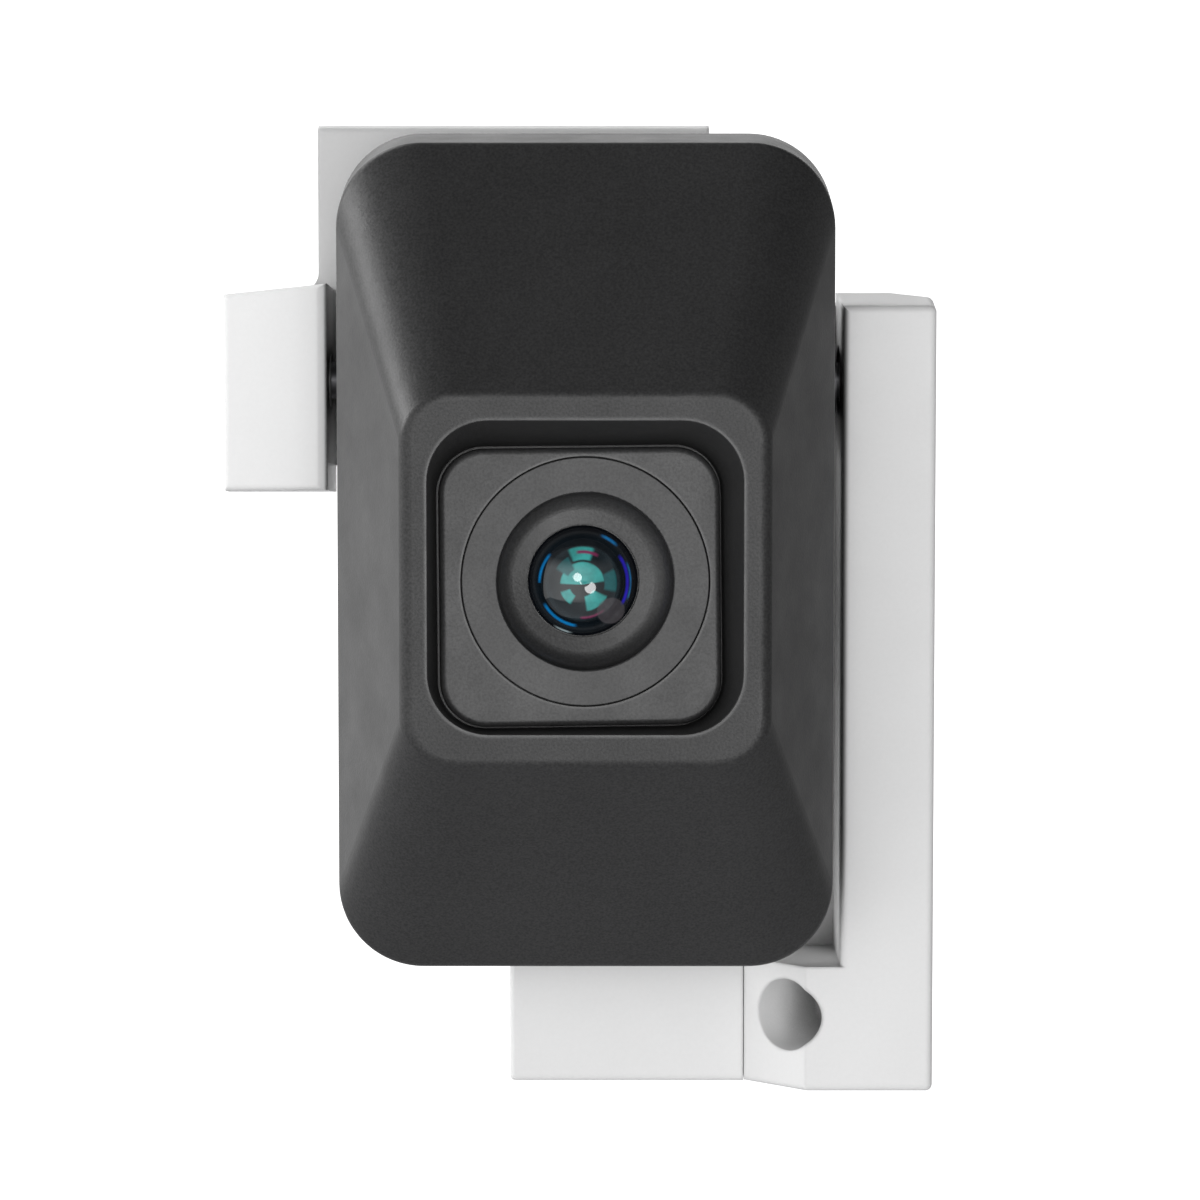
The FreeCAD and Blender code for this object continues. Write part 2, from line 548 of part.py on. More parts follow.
def front_housing():
    """Black front shell: straight skirt, four slopes up to a square face, and a slanted lens pocket."""
    body = new_body("front_housing")
    pad(body, rounded_rectangle(sketch_on(body, "XZ_Plane", "head_back"), "0", "head_z",
                                "head_half_width", "head_half_height", "head_corner"), "head_edge-head_back")
    skirt = rounded_rectangle(sketch_on(body, "XZ_Plane", "head_edge"), "0", "head_z",
                              "head_half_width", "head_half_height", "head_corner")
    face = rounded_rectangle(sketch_on(body, "XZ_Plane", "face_depth"), "0", "face_z",
                             "face_half_width", "face_half_height", "face_corner")
    loft(body, "AdditiveLoft", [skirt, face])
    round_edges(body, "face_round", lambda edge: lies_at(edge, 1, -measure("face_depth")))
    round_edges(body, "head_round", lambda edge: lies_at(edge, 1, -measure("head_edge")))
    hollow = rounded_rectangle(sketch_on(body, "XZ_Plane", "head_back"), "0", "head_z",
                               "(head_half_width-shell_wall)", "(head_half_height-shell_wall)",
                               "(head_corner-shell_wall)")
    pocket(body, hollow, "head_edge-head_back-0.5")
    low = rounded_rectangle(sketch_on(body, "XZ_Plane", "head_edge-0.5"), "0", "head_z",
                            "(head_half_width-shell_wall)", "(head_half_height-shell_wall)",
                            "(head_corner-shell_wall)")
    high = rounded_rectangle(sketch_on(body, "XZ_Plane", "core_depth"), "0", "face_z",
                             "core_half_width", "core_half_height", "core_corner")
    loft(body, "SubtractiveLoft", [low, high])
    mouth = rounded_rectangle(sketch_on(body, "XZ_Plane", "face_depth+0.02"), "0", "mouth_z",
                              "mouth_half_width", "mouth_half_height", "mouth_corner")
    floor = rounded_rectangle(sketch_on(body, "XZ_Plane", tilt=lens_offset("-lens_plate_thick")),
                              "floor_u", "floor_v", "floor_half_width", "floor_half_height", "floor_corner")
    loft(body, "SubtractiveLoft", [mouth, floor])
    axis_turn = FACING_OUT.multiply(LENS_TILT)
    centre = Vector(0, -measure("lens_depth"), measure("lens_z"))
    hole_start = centre + axis_turn.multVec(Vector(0, 0, -10))
    cylinder(body, "SubtractiveCylinder", "housing_hole", "9.9", hole_start, axis_turn)
    for sign_u in (-1, 1):
        for sign_v in (-1, 1):
            at = measure("board_hole_at")
            local = Vector(sign_u * at, sign_v * at, -measure("board_front"))
            cylinder(body, "AdditiveCylinder", "board_post_radius", "board_front-board_post_end",
                     centre + axis_turn.multVec(local), axis_turn)
            cylinder(body, "SubtractiveCylinder", "board_screw_radius", "board_shank",
                     centre + axis_turn.multVec(local), axis_turn)
    for u, v in HOUSING_SCREWS:
        post = circle(sketch_on(body, "XZ_Plane", "head_back"), u, v, "post_radius")
        pad(body, post, "post_top-head_back")
        bore = circle(sketch_on(body, "XZ_Plane", "head_back"), u, v, "screw_radius")
        pocket(body, bore, "post_bore_depth")


HOUSING_SCREWS = [("-post_x", "head_z-post_z"), ("post_x", "head_z-post_z"),
                  ("-post_x", "head_z+post_z"), ("post_x", "head_z+post_z")]


def rear_housing():
    """Black back cover with the two pivot blocks behind it and the cable opening."""
    body = new_body("rear_housing")
    wide = rounded_rectangle(sketch_on(body, "XZ_Plane", "head_back"), "0", "head_z",
                             "head_half_width", "head_half_height", "head_corner")
    narrow = rounded_rectangle(sketch_on(body, "XZ_Plane", "rear_depth"), "0", "head_z",
                               "rear_half_width", "rear_half_height", "rear_corner")
    loft(body, "AdditiveLoft", [wide, narrow])
    for sign, outer in (("-", "-lug_block_outer"), ("", "lug_block_inner")):
        block = rectangle(sketch_on(body, "YZ_Plane", outer), "-rear_depth-1", "tilt_z-lug_block_round",
                          "-tilt_depth", "tilt_z+lug_block_round")
        pad(body, block, "lug_block_outer-lug_block_inner")
        end = circle(sketch_on(body, "YZ_Plane", outer), "-tilt_depth", "tilt_z", "lug_block_round")
        pad(body, end, "lug_block_outer-lug_block_inner")
        bore_from = "-lug_block_outer-0.5" if sign else "tilt_pin_inner"
        bore = circle(sketch_on(body, "YZ_Plane", bore_from), "-tilt_depth", "tilt_z", "tilt_pin_radius")
        feature = body.newObject("PartDesign::Pocket", "PinBore")
        feature.Profile = bore
        feature.Reversed = True
        bind(feature, "Length", "lug_block_outer+0.5-tilt_pin_inner")
        doc.recompute()
    opening = rounded_rectangle(sketch_on(body, "XZ_Plane", "head_back+0.5"), "0", "socket_z",
                                "socket_half_width", "socket_half_height", "(socket_half_height-0.05)")
    pocket(body, opening, "head_back-rear_depth+1")
    for u, v in HOUSING_SCREWS:
        hole = circle(sketch_on(body, "XZ_Plane", "head_back+0.5"), u, v, "screw_radius+screw_clearance")
        pocket(body, hole, "4")
        pocket(body, circle(sketch_on(body, "XZ_Plane", "rear_depth+screw_head_height-screw_proud"), u, v,
                            "screw_head_radius+0.1"), "3")


def cable_socket():
    """Shell of the cable inlet in the back cover, with its contact tongue."""
    body = new_body("cable_socket")
    shell = rounded_rectangle(sketch_on(body, "XZ_Plane", "rear_depth"), "0", "socket_z",
                              "socket_half_width", "socket_half_height", "(socket_half_height-0.05)")
    pad(body, shell, "socket_length")
    hollow = rounded_rectangle(sketch_on(body, "XZ_Plane", "rear_depth"), "0", "socket_z",
                               "(socket_half_width-socket_wall)", "(socket_half_height-socket_wall)",
                               "(socket_half_height-socket_wall-0.05)")
    pocket(body, hollow, "socket_length-socket_floor")
    tongue = rectangle(sketch_on(body, "XZ_Plane", "rear_depth+tongue_back"),
                       "-tongue_half_width", "socket_z-tongue_half", "tongue_half_width", "socket_z+tongue_half")
    pad(body, tongue, "socket_length-tongue_back-tongue_back")


# ---------------------------------------------------------------- lens group

def lens_plate():
    """Square plate at the bottom of the slanted pocket."""
    body = new_body("lens_plate")
    outline = rounded_rectangle(sketch_on(body, "XY_Plane", "-lens_plate_thick"), "floor_u", "floor_v",
                                "(floor_half_width-lens_plate_gap)", "(floor_half_height-lens_plate_gap)",
                                "(floor_corner-lens_plate_gap)")
    pad(body, outline, "lens_plate_thick")
    round_edges(body, "lens_plate_round", lambda edge: lies_at(edge, 2, 0))
    hole = circle(sketch_on(body, "XY_Plane", "0.5"), "0", "0", "bezel_radius+bezel_seam")
    pocket(body, hole, "lens_plate_thick+1")
    place_in_lens_frame(body)


def lens_bezel():
    """Round trim in the plate, dished down to the lens like a shallow bowl."""
    body = new_body("lens_bezel")
    revolve(body, [("dish_throat", "-dish_deep"), ("dish_throat", "-throat_step"),
                   ("throat_clear", "-throat_step"), ("throat_clear", "-bezel_hub_back"),
                   ("bezel_hub_radius", "-bezel_hub_back"),
                   ("bezel_hub_radius", "-lens_plate_thick"), ("bezel_radius", "-lens_plate_thick"),
                   ("bezel_radius", "-bezel_bevel"), ("bezel_radius-bezel_bevel", "0"),
                   ("dish_radius", "0"), ("dish_radius", "-dish_wall")])
    round_edges(body, "dish_round", lambda edge: lies_at(edge, 2, -measure("dish_wall")))
    round_edges(body, "dish_lip", is_dish_lip)
    place_in_lens_frame(body)


def is_dish_lip(edge):
    """The circle where the dish meets the flat of the trim."""
    point = edge.Vertexes[0].Point
    across = (point.x ** 2 + point.y ** 2) ** 0.5
    return lies_at(edge, 2, 0) and abs(across - measure("dish_radius")) < 1e-3


def lens_barrel():
    """Threaded barrel that carries the glass."""
    body = new_body("lens_barrel")
    revolve(body, [("rear_glass_radius", "-barrel_back"), ("barrel_radius-0.4", "-barrel_back"),
                   ("barrel_radius", "-barrel_back+0.4"), ("barrel_radius", "-bezel_hub_back-0.1"),
                   ("barrel_front_radius", "-bezel_hub_back-0.1"),
                   ("barrel_front_radius", "-barrel_front-0.15"),
                   ("barrel_front_radius-0.15", "-barrel_front"), ("glass_radius", "-barrel_front"),
                   ("glass_radius", "-glass_seat"), ("rear_glass_radius", "-glass_seat-iris_thick")])
    place_in_lens_frame(body)


def glass(label, radius, edge_front, rise, edge_back, back_rise):
    """A lens element: a turned profile whose faces are arcs of the given rise."""
    body = new_body(label)
    drawing = sketch_on(body, "XZ_Plane")
    reach = measure(radius)
    front = -measure(edge_front)
    back = -measure(edge_back)
    top = front + measure(rise)
    bottom = back - measure(back_rise)
    marks = [Vector(0, bottom, 0), Vector(reach, back, 0), Vector(reach, front, 0), Vector(0, top, 0)]

    def bulge(first, second, height, centre_sign):
        chord = reach
        ball = (chord * chord + height * height) / (2 * height)
        middle = Vector(0, (top - ball) if centre_sign > 0 else (bottom + ball), 0)
        half = first + second
        point = Vector(half.x / 2, half.y / 2, 0) - middle
        point.normalize()
        return Part.Arc(first, middle + point * ball, second)

    drawing.addGeometry(bulge(marks[0], marks[1], measure(back_rise), -1), False)
    drawing.addGeometry(Part.LineSegment(marks[1], marks[2]), False)
    drawing.addGeometry(bulge(marks[2], marks[3], measure(rise), 1), False)
    drawing.addGeometry(Part.LineSegment(marks[3], marks[0]), False)
    for element in range(4):
        drawing.addConstraint(Sketcher.Constraint("Block", element))
    feature = body.newObject("PartDesign::Revolution", "Revolution")
    feature.Profile = drawing
    feature.ReferenceAxis = (drawing, ["V_Axis"])
    feature.Angle = 360
    doc.recompute()
    place_in_lens_frame(body)


def iris_ring():
    body = new_body("iris_ring")
    revolve(body, [("iris_radius", "-iris_front-iris_thick"), ("rear_glass_radius", "-iris_front-iris_thick"),
                   ("rear_glass_radius", "-iris_front"), ("iris_radius+0.3", "-iris_front")])
    place_in_lens_frame(body)


def lens_holder():
    """Square holder that the barrel screws into, on the sensor board."""
    body = new_body("lens_holder")
    outline = rounded_rectangle(sketch_on(body, "XY_Plane", "-board_front"), "0", "0",
                                "holder_half", "holder_half", "1.0")
    pad(body, outline, "board_front-holder_front")
    pocket(body, circle(sketch_on(body, "XY_Plane", "-holder_front"), "0", "0", "barrel_radius"),
           "board_front-holder_front+1")
    place_in_lens_frame(body)


def sensor_board():
    body = new_body("sensor_board")
    outline = rounded_rectangle(sketch_on(body, "XY_Plane", "-board_front-board_thick"), "0", "0",
                                "board_half", "board_half", "1.0")
    pad(body, outline, "board_thick")
    for side in ("-", ""):
        for end in ("-", ""):
            hole = circle(sketch_on(body, "XY_Plane", "-board_front+0.5"),
                          side + "board_hole_at", end + "board_hole_at", "board_screw_hole")
            pocket(body, hole, "board_thick+1")
    place_in_lens_frame(body)


def image_sensor():
    body = new_body("image_sensor")
    pad(body, rectangle(sketch_on(body, "XY_Plane", "-board_front"),
                        "-sensor_half_u", "-sensor_half_v", "sensor_half_u", "sensor_half_v"), "sensor_thick")
    place_in_lens_frame(body)


def board_screws():
    body = new_body("board_screws")
    for side in ("-", ""):
        for end in ("-", ""):
            u = side + "board_hole_at"
            v = end + "board_hole_at"
            back = "-board_front-board_thick"
            seat = sketch_on(body, "XY_Plane", back + "-board_screw_head_height")
            head = circle(seat, u, v, "board_screw_head")
            pad(body, head, "board_screw_head_height")
            pad(body, circle(sketch_on(body, "XY_Plane", back), u, v, "board_screw_radius"), "board_shank")
    place_in_lens_frame(body)


# ---------------------------------------------------------------- build, check and write

wall_plate()
pan_pin()
pan_nut()
pan_hinge_rings()
left_bracket()
right_bracket()
lower_cover()
screw_group("bracket_screws", BRACKET_SCREWS, "plate_rear", "bracket_shank")
screw_group("cover_screws", COVER_SCREWS, "plate_rear", "cover_shank")
tilt_hinge()
front_housing()
rear_housing()
screw_group("housing_screws", HOUSING_SCREWS, "rear_depth+screw_head_height-screw_proud", "housing_shank")
cable_socket()
lens_plate()
lens_bezel()
lens_barrel()
glass("front_lens", "glass_radius", "glass_edge", "glass_rise", "glass_seat", "0.35")
iris_ring()
glass("rear_lens", "rear_glass_radius", "rear_glass_front", "rear_glass_half", "rear_glass_front+0.8",
      "rear_glass_half")
lens_holder()
sensor_board()
image_sensor()
board_screws()
doc.recompute()

faults = [item.Label for item in doc.Objects if "Invalid" in item.State or "Error" in item.State]
faults += [body.Label for body in parts if body.Shape.isNull() or not body.Shape.isValid()]
if faults:
    raise SystemExit("not written, these failed: " + ", ".join(faults))
os.makedirs("parts", exist_ok=True)
for body in parts:
    body.Shape.exportStep("parts/%s.step" % body.Label)
    print("%-20s %8.1f mm3, %d solid(s)" % (body.Label, body.Shape.Volume, len(body.Shape.Solids)))
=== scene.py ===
"""Looks of the pan tilt camera mount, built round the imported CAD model."""

import math

import bmesh
import bpy
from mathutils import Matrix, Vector


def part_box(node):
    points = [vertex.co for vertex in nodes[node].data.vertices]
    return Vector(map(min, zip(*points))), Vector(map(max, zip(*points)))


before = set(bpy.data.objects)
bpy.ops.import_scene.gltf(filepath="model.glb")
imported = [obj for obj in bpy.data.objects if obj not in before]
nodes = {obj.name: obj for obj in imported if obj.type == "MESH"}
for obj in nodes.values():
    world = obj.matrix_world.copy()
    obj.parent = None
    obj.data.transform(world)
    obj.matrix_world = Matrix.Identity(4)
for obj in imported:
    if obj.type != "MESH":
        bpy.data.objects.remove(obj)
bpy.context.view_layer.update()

MM = 0.001


# ---------------------------------------------------------------- node helpers

class Tree:
    """A node tree with short calls for adding nodes and links."""

    def __init__(self, tree):
        self.tree = tree
        tree.nodes.clear()

    def add(self, kind, inputs=None, **settings):
        node = self.tree.nodes.new(kind)
        for name, value in settings.items():
            setattr(node, name, value)
        for name, value in (inputs or {}).items():
            self.put(node.inputs[name], value)
        return node

    def put(self, socket, value):
        if isinstance(value, bpy.types.NodeSocket):
            self.tree.links.new(value, socket)
        else:
            socket.default_value = value

    def math(self, operation, first, second=0.0):
        node = self.add("ShaderNodeMath", {0: first, 1: second}, operation=operation)
        return node.outputs[0]

    def noise(self, where, scale, detail=3.0, roughness=0.55):
        node = self.add("ShaderNodeTexNoise", {"Vector": where, "Scale": scale, "Detail": detail,
                                               "Roughness": roughness})
        return node.outputs["Fac"]

    def ramp(self, factor, stops):
        node = self.add("ShaderNodeValToRGB", {"Fac": factor})
        node.color_ramp.interpolation = "LINEAR"
        while len(node.color_ramp.elements) < len(stops):
            node.color_ramp.elements.new(0.5)
        for element, (place, colour) in zip(node.color_ramp.elements, stops):
            element.position = place
            element.color = (*colour, 1.0) if hasattr(colour, "__len__") else (colour, colour, colour, 1.0)
        return node.outputs["Color"]

    def span(self, value, from_low, from_high, to_low, to_high, smooth=False):
        node = self.add("ShaderNodeMapRange", {"Value": value, "From Min": from_low, "From Max": from_high,
                                               "To Min": to_low, "To Max": to_high}, clamp=True)
        node.interpolation_type = "SMOOTHSTEP" if smooth else "LINEAR"
        return node.outputs["Result"]

    def mix(self, factor, first, second):
        node = self.add("ShaderNodeMix", data_type="RGBA", blend_type="MIX")
        self.put(node.inputs[0], factor)
        for slot, colour in ((6, first), (7, second)):
            self.put(node.inputs[slot], colour if isinstance(colour, bpy.types.NodeSocket) else (*colour, 1.0))
        return node.outputs[2]


def new_material(name):
    material = bpy.data.materials.new(name)
    material.use_nodes = True
    tree = Tree(material.node_tree)
    shader = tree.add("ShaderNodeBsdfPrincipled")
    output = tree.add("ShaderNodeOutputMaterial")
    tree.tree.links.new(shader.outputs[0], output.inputs["Surface"])
    where = tree.add("ShaderNodeTexCoord").outputs["Object"]
    return material, tree, shader, where


def edge_mask(tree, radius_mm, low, high):
    """1 on the edges of a shape and 0 on its flats, from how far a bevelled normal leaves the true one.

    Low and high are the departures, as 1 minus a cosine, at which the mask starts and is full.
    """
    bevel = tree.add("ShaderNodeBevel", {"Radius": radius_mm * MM}, samples=4)
    geometry = tree.add("ShaderNodeNewGeometry")
    dot = tree.add("ShaderNodeVectorMath", {0: bevel.outputs[0], 1: geometry.outputs["Normal"]},
                   operation="DOT_PRODUCT")
    away = tree.math("SUBTRACT", 1.0, dot.outputs["Value"])
    return tree.span(away, low, high, 0.0, 1.0)


def gap_shade(tree, reach_mm):
    """1 on open faces and less inside narrow gaps, as a stand-in for the deep shadow there."""
    shade = tree.add("ShaderNodeAmbientOcclusion", {"Distance": reach_mm * MM}, samples=8)
    return tree.span(shade.outputs["AO"], 0.16, 0.62, 0.04, 1.0)


def scaled(tree, colour, factor):
    """A colour times a number."""
    return tree.add("ShaderNodeVectorMath", {0: colour, "Scale": factor}, operation="SCALE").outputs[0]


def length(tree, first, second):
    """The distance from the origin of a point with these two coordinates."""
    squares = [tree.math("MULTIPLY", part, part) for part in (first, second)]
    return tree.math("SQRT", tree.math("ADD", *squares))


def plastic(name, colour, edge_wear_and_highlight_colour, *, rough, grain_mm, grain_height_mm, spec, edge_wear_and_highlight, soften_mm,
            tone, speckle, gap_mm=0.0, edge_mm=0.15, edge_full=0.35):
    """Moulded plastic: fine grain, slow tone change, uneven gloss and paler edges (wear and painted highlight).

    Edge wear and highlight is how far an edge goes to the edge colour, which is partly wear and, on the black
    mouldings, a painted highlight. Tone and speckle are the slow and the grainy changes of brightness. Soften
    rounds sharp edges in the shading. A gap size above zero paints shade into narrow gaps.
    """
    material, tree, shader, where = new_material(name)
    fine = tree.noise(where, 1.0 / (grain_mm * MM), 2.5, 0.6)
    slow = tree.noise(where, 70.0, 4.0, 0.6)
    smudge = tree.noise(where, 190.0, 5.0, 0.65)
    edges = edge_mask(tree, edge_mm, 0.01, edge_full)
    # Edges move towards the edge colour: partly wear, and a painted highlight on the black mouldings.
    wear_and_highlight_edges = tree.math("MULTIPLY", edges, tree.span(smudge, 0.35, 0.6, edge_wear_and_highlight * 0.5, edge_wear_and_highlight))
    darker = tuple(part * (1 - tone) for part in colour)
    lighter = tuple(min(1.0, part * (1 + tone)) for part in colour)
    base = tree.mix(tree.span(slow, 0.3, 0.7, 0.0, 1.0), darker, lighter)
    grains = tree.span(fine, 0.3, 0.7, 1.0 - speckle, 1.0 + speckle)
    base_with_wear_highlight_and_shade = tree.mix(wear_and_highlight_edges, scaled(tree, base, grains), edge_wear_and_highlight_colour)
    # Painted shade: narrow gaps are darkened in the base colour.
    if gap_mm:
        base_with_wear_highlight_and_shade = scaled(tree, base_with_wear_highlight_and_shade, gap_shade(tree, gap_mm))
    tree.put(shader.inputs["Base Color"], base_with_wear_highlight_and_shade)
    gloss = tree.math("ADD", tree.span(smudge, 0.3, 0.7, rough - 0.05, rough + 0.05),
                      tree.span(fine, 0.3, 0.7, -0.04, 0.04))
    tree.put(shader.inputs["Roughness"], tree.math("SUBTRACT", gloss, tree.math("MULTIPLY", wear_and_highlight_edges, 0.1)))
    tree.put(shader.inputs["Specular IOR Level"],
             tree.span(fine, 0.35, 0.65, spec * (1 - speckle), spec * (1 + speckle)))
    soft = tree.add("ShaderNodeBevel", {"Radius": soften_mm * MM}, samples=4)
    bump = tree.add("ShaderNodeBump", {"Strength": 1.0, "Distance": grain_height_mm * MM, "Height": fine,
                                       "Normal": soft.outputs[0]})
    wave = tree.add("ShaderNodeBump", {"Strength": 1.0, "Distance": 0.02 * MM, "Height": slow,
                                       "Normal": bump.outputs[0]})
    tree.put(shader.inputs["Normal"], wave.outputs[0])
    return material


def metal(name, colour, rough, brush_axis, scratch=0.5):
    """Machined or plated metal with fine marks, stretched by the brush axis scales, and dulled patches."""
    material, tree, shader, where = new_material(name)
    stretch = tree.add("ShaderNodeMapping", {"Vector": where, "Scale": brush_axis})
    lines = tree.noise(stretch.outputs[0], 900.0, 3.0, 0.6)
    dull = tree.noise(where, 260.0, 4.0, 0.6)
    edges = edge_mask(tree, 0.12, 0.03, 0.35)
    darker = tuple(part * 0.88 for part in colour)
    tree.put(shader.inputs["Base Color"], tree.mix(tree.span(dull, 0.35, 0.65, 0.0, 1.0), darker, colour))
    shader.inputs["Metallic"].default_value = 1.0
    patchy = tree.span(dull, 0.3, 0.7, rough - 0.07, rough + 0.1)
    tree.put(shader.inputs["Roughness"], tree.math("SUBTRACT", patchy, tree.math("MULTIPLY", edges, 0.08)))
    bump = tree.add("ShaderNodeBump", {"Strength": scratch, "Distance": 0.01 * MM, "Height": lines})
    tree.put(shader.inputs["Normal"], bump.outputs[0])
    return material


# Reflections painted into the colour of the front glass: inner and outer radius as parts of the glass radius,
# start angle, end angle and tint.
TEAL, DEEP, BLUE = (0.045, 0.36, 0.34), (0.015, 0.12, 0.13), (0.005, 0.20, 0.52)
VIOLET, PINK, PALE = (0.03, 0.02, 0.55), (0.22, 0.03, 0.10), (0.45, 0.55, 0.58)
PAINTED_GLASS_REFLECTIONS = [
    (0.0, 0.40, 8.0, 178.0, TEAL), (0.44, 0.66, 72.0, 112.0, TEAL), (0.40, 0.62, -14.0, 24.0, DEEP),
    (0.22, 0.50, -80.0, -28.0, TEAL), (0.24, 0.42, -160.0, -122.0, TEAL), (0.30, 0.55, 118.0, 150.0, DEEP),
    (0.55, 0.60, 62.0, 100.0, PINK), (0.60, 0.64, -92.0, -52.0, PINK),
    (0.76, 0.80, 140.0, 179.0, BLUE), (0.76, 0.81, -150.0, -100.0, BLUE), (0.79, 0.84, -28.0, 34.0, VIOLET),
    (0.86, 0.88, -20.0, 22.0, BLUE), (0.88, 0.92, 48.0, 66.0, BLUE), (0.93, 0.955, -121.0, -104.0, PALE),
]
GLASS_RADIUS = 4.3 * MM
# Place and size of the painted ghost reflection, a pale ring low and right of the lens centre.
GHOST_OFFSET = 2.2 * MM
GHOST_INNER, GHOST_OUTER = 1.0 * MM, 1.15 * MM


def lens_glass(name):
    """Coated front element: near black glass with painted reflections in rings about the lens axis and a
    painted ghost.
    """
    material, tree, shader, where = new_material(name)
    low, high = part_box("front_lens")
    centre = (low + high) / 2
    local = tree.add("ShaderNodeVectorMath", {0: where, 1: tuple(centre)}, operation="SUBTRACT").outputs[0]
    axes = tree.add("ShaderNodeSeparateXYZ", {"Vector": local})
    across, up = axes.outputs["X"], axes.outputs["Z"]
    ring = tree.math("DIVIDE", length(tree, across, up), GLASS_RADIUS)
    turn = tree.span(tree.math("ARCTAN2", up, across), -math.pi, math.pi, 0.0, 1.0)

    def arc(inner, outer, start, end, soft=0.02, blur=0.012):
        """1 inside a ring sector. Angles are degrees anticlockwise from the right, from -180 to 180."""
        near = tree.span(ring, inner - soft, inner + soft, 0.0, 1.0, smooth=True)
        far = tree.span(ring, outer - soft, outer + soft, 1.0, 0.0, smooth=True)
        first, last = (start + 180.0) / 360.0, (end + 180.0) / 360.0
        after = tree.span(turn, first - blur, first + blur, 0.0, 1.0, smooth=True)
        before = tree.span(turn, last - blur, last + blur, 1.0, 0.0, smooth=True)
        return tree.math("MULTIPLY", tree.math("MULTIPLY", near, far), tree.math("MULTIPLY", after, before))

    colour = tree.ramp(ring, [
        (0.0, (0.010, 0.016, 0.018)), (0.55, (0.008, 0.014, 0.018)), (0.66, (0.020, 0.030, 0.036)),
        (0.70, (0.004, 0.007, 0.010)), (0.86, (0.006, 0.010, 0.014)), (0.95, (0.003, 0.004, 0.006)),
    ])
    for inner, outer, start, end, tint in PAINTED_GLASS_REFLECTIONS:
        colour = tree.mix(arc(inner, outer, start, end), colour, tint)
    # Painted ghost reflection: a pale ring low and right of the centre.
    ghost_reflection_distance = length(tree, tree.math("SUBTRACT", across, GHOST_OFFSET), tree.math("ADD", up, GHOST_OFFSET))
    painted_ghost_reflection = tree.span(ghost_reflection_distance, GHOST_INNER, GHOST_OUTER, 0.55, 0.0, smooth=True)
    colour = tree.mix(painted_ghost_reflection, colour, (0.11, 0.10, 0.11))
    cloud = tree.span(tree.noise(where, 900.0, 3.0, 0.6), 0.3, 0.7, 0.75, 1.2)
    tree.put(shader.inputs["Base Color"], scaled(tree, colour, cloud))
    haze = tree.noise(where, 300.0, 2.0, 0.5)
    tree.put(shader.inputs["Roughness"], tree.span(haze, 0.3, 0.7, 0.03, 0.06))
    shader.inputs["IOR"].default_value = 1.5
    shader.inputs["Coat Weight"].default_value = 0.6
    shader.inputs["Coat Roughness"].default_value = 0.02
    return material


# ---------------------------------------------------------------- materials

# gap_mm paints shade into the narrow gaps round the white parts.
WHITE = plastic("white_moulding", (0.80, 0.80, 0.80), (0.86, 0.86, 0.86), rough=0.42, grain_mm=0.35,
                grain_height_mm=0.003, spec=0.5, edge_wear_and_highlight=0.4, soften_mm=0.45, tone=0.012, speckle=0.01, gap_mm=5.2)
# The pale edge colour of the black mouldings is a painted highlight on their rounded edges.
BLACK = plastic("black_moulding", (0.024, 0.024, 0.0245), (0.30, 0.30, 0.30), rough=0.44, grain_mm=0.2,
                grain_height_mm=0.016, spec=0.44, edge_wear_and_highlight=0.6, soften_mm=0.12, tone=0.1, speckle=0.2,
                edge_mm=0.55, edge_full=0.12)
# As above, the pale edge colour here is a painted highlight on the rounded edges.
PLATE = plastic("lens_plate_black", (0.030, 0.030, 0.0305), (0.30, 0.30, 0.30), rough=0.42, grain_mm=0.2,
                grain_height_mm=0.016, spec=0.55, edge_wear_and_highlight=0.5, soften_mm=0.1, tone=0.1, speckle=0.2,
                edge_mm=0.4, edge_full=0.12)
TRIM = plastic("lens_trim_black", (0.026, 0.026, 0.0265), (0.08, 0.08, 0.08), rough=0.38, grain_mm=0.2,
               grain_height_mm=0.012, spec=0.5, edge_wear_and_highlight=0.3, soften_mm=0.06, tone=0.1, speckle=0.16)
BARREL = plastic("anodised_black", (0.012, 0.012, 0.0125), (0.14, 0.14, 0.14), rough=0.3, grain_mm=0.12,
                 grain_height_mm=0.004, spec=0.6, edge_wear_and_highlight=0.7, soften_mm=0.05, tone=0.1, speckle=0.1)
BOARD = plastic("solder_mask", (0.012, 0.09, 0.035), (0.3, 0.22, 0.1), rough=0.35, grain_mm=0.5,
                grain_height_mm=0.006, spec=0.5, edge_wear_and_highlight=0.5, soften_mm=0.1, tone=0.15, speckle=0.1)
SENSOR = plastic("sensor_package", (0.03, 0.035, 0.06), (0.2, 0.2, 0.2), rough=0.15, grain_mm=0.3,
                 grain_height_mm=0.002, spec=0.6, edge_wear_and_highlight=0.3, soften_mm=0.05, tone=0.2, speckle=0.05)
STEEL = metal("plated_steel", (0.56, 0.56, 0.57), 0.3, (1.0, 1.0, 12.0))
SCREW = metal("black_oxide", (0.10, 0.10, 0.105), 0.38, (6.0, 1.0, 6.0))
BRONZE = metal("sintered_bronze", (0.56, 0.40, 0.22), 0.42, (1.0, 1.0, 1.0), 0.9)
GLASS = lens_glass("coated_glass")

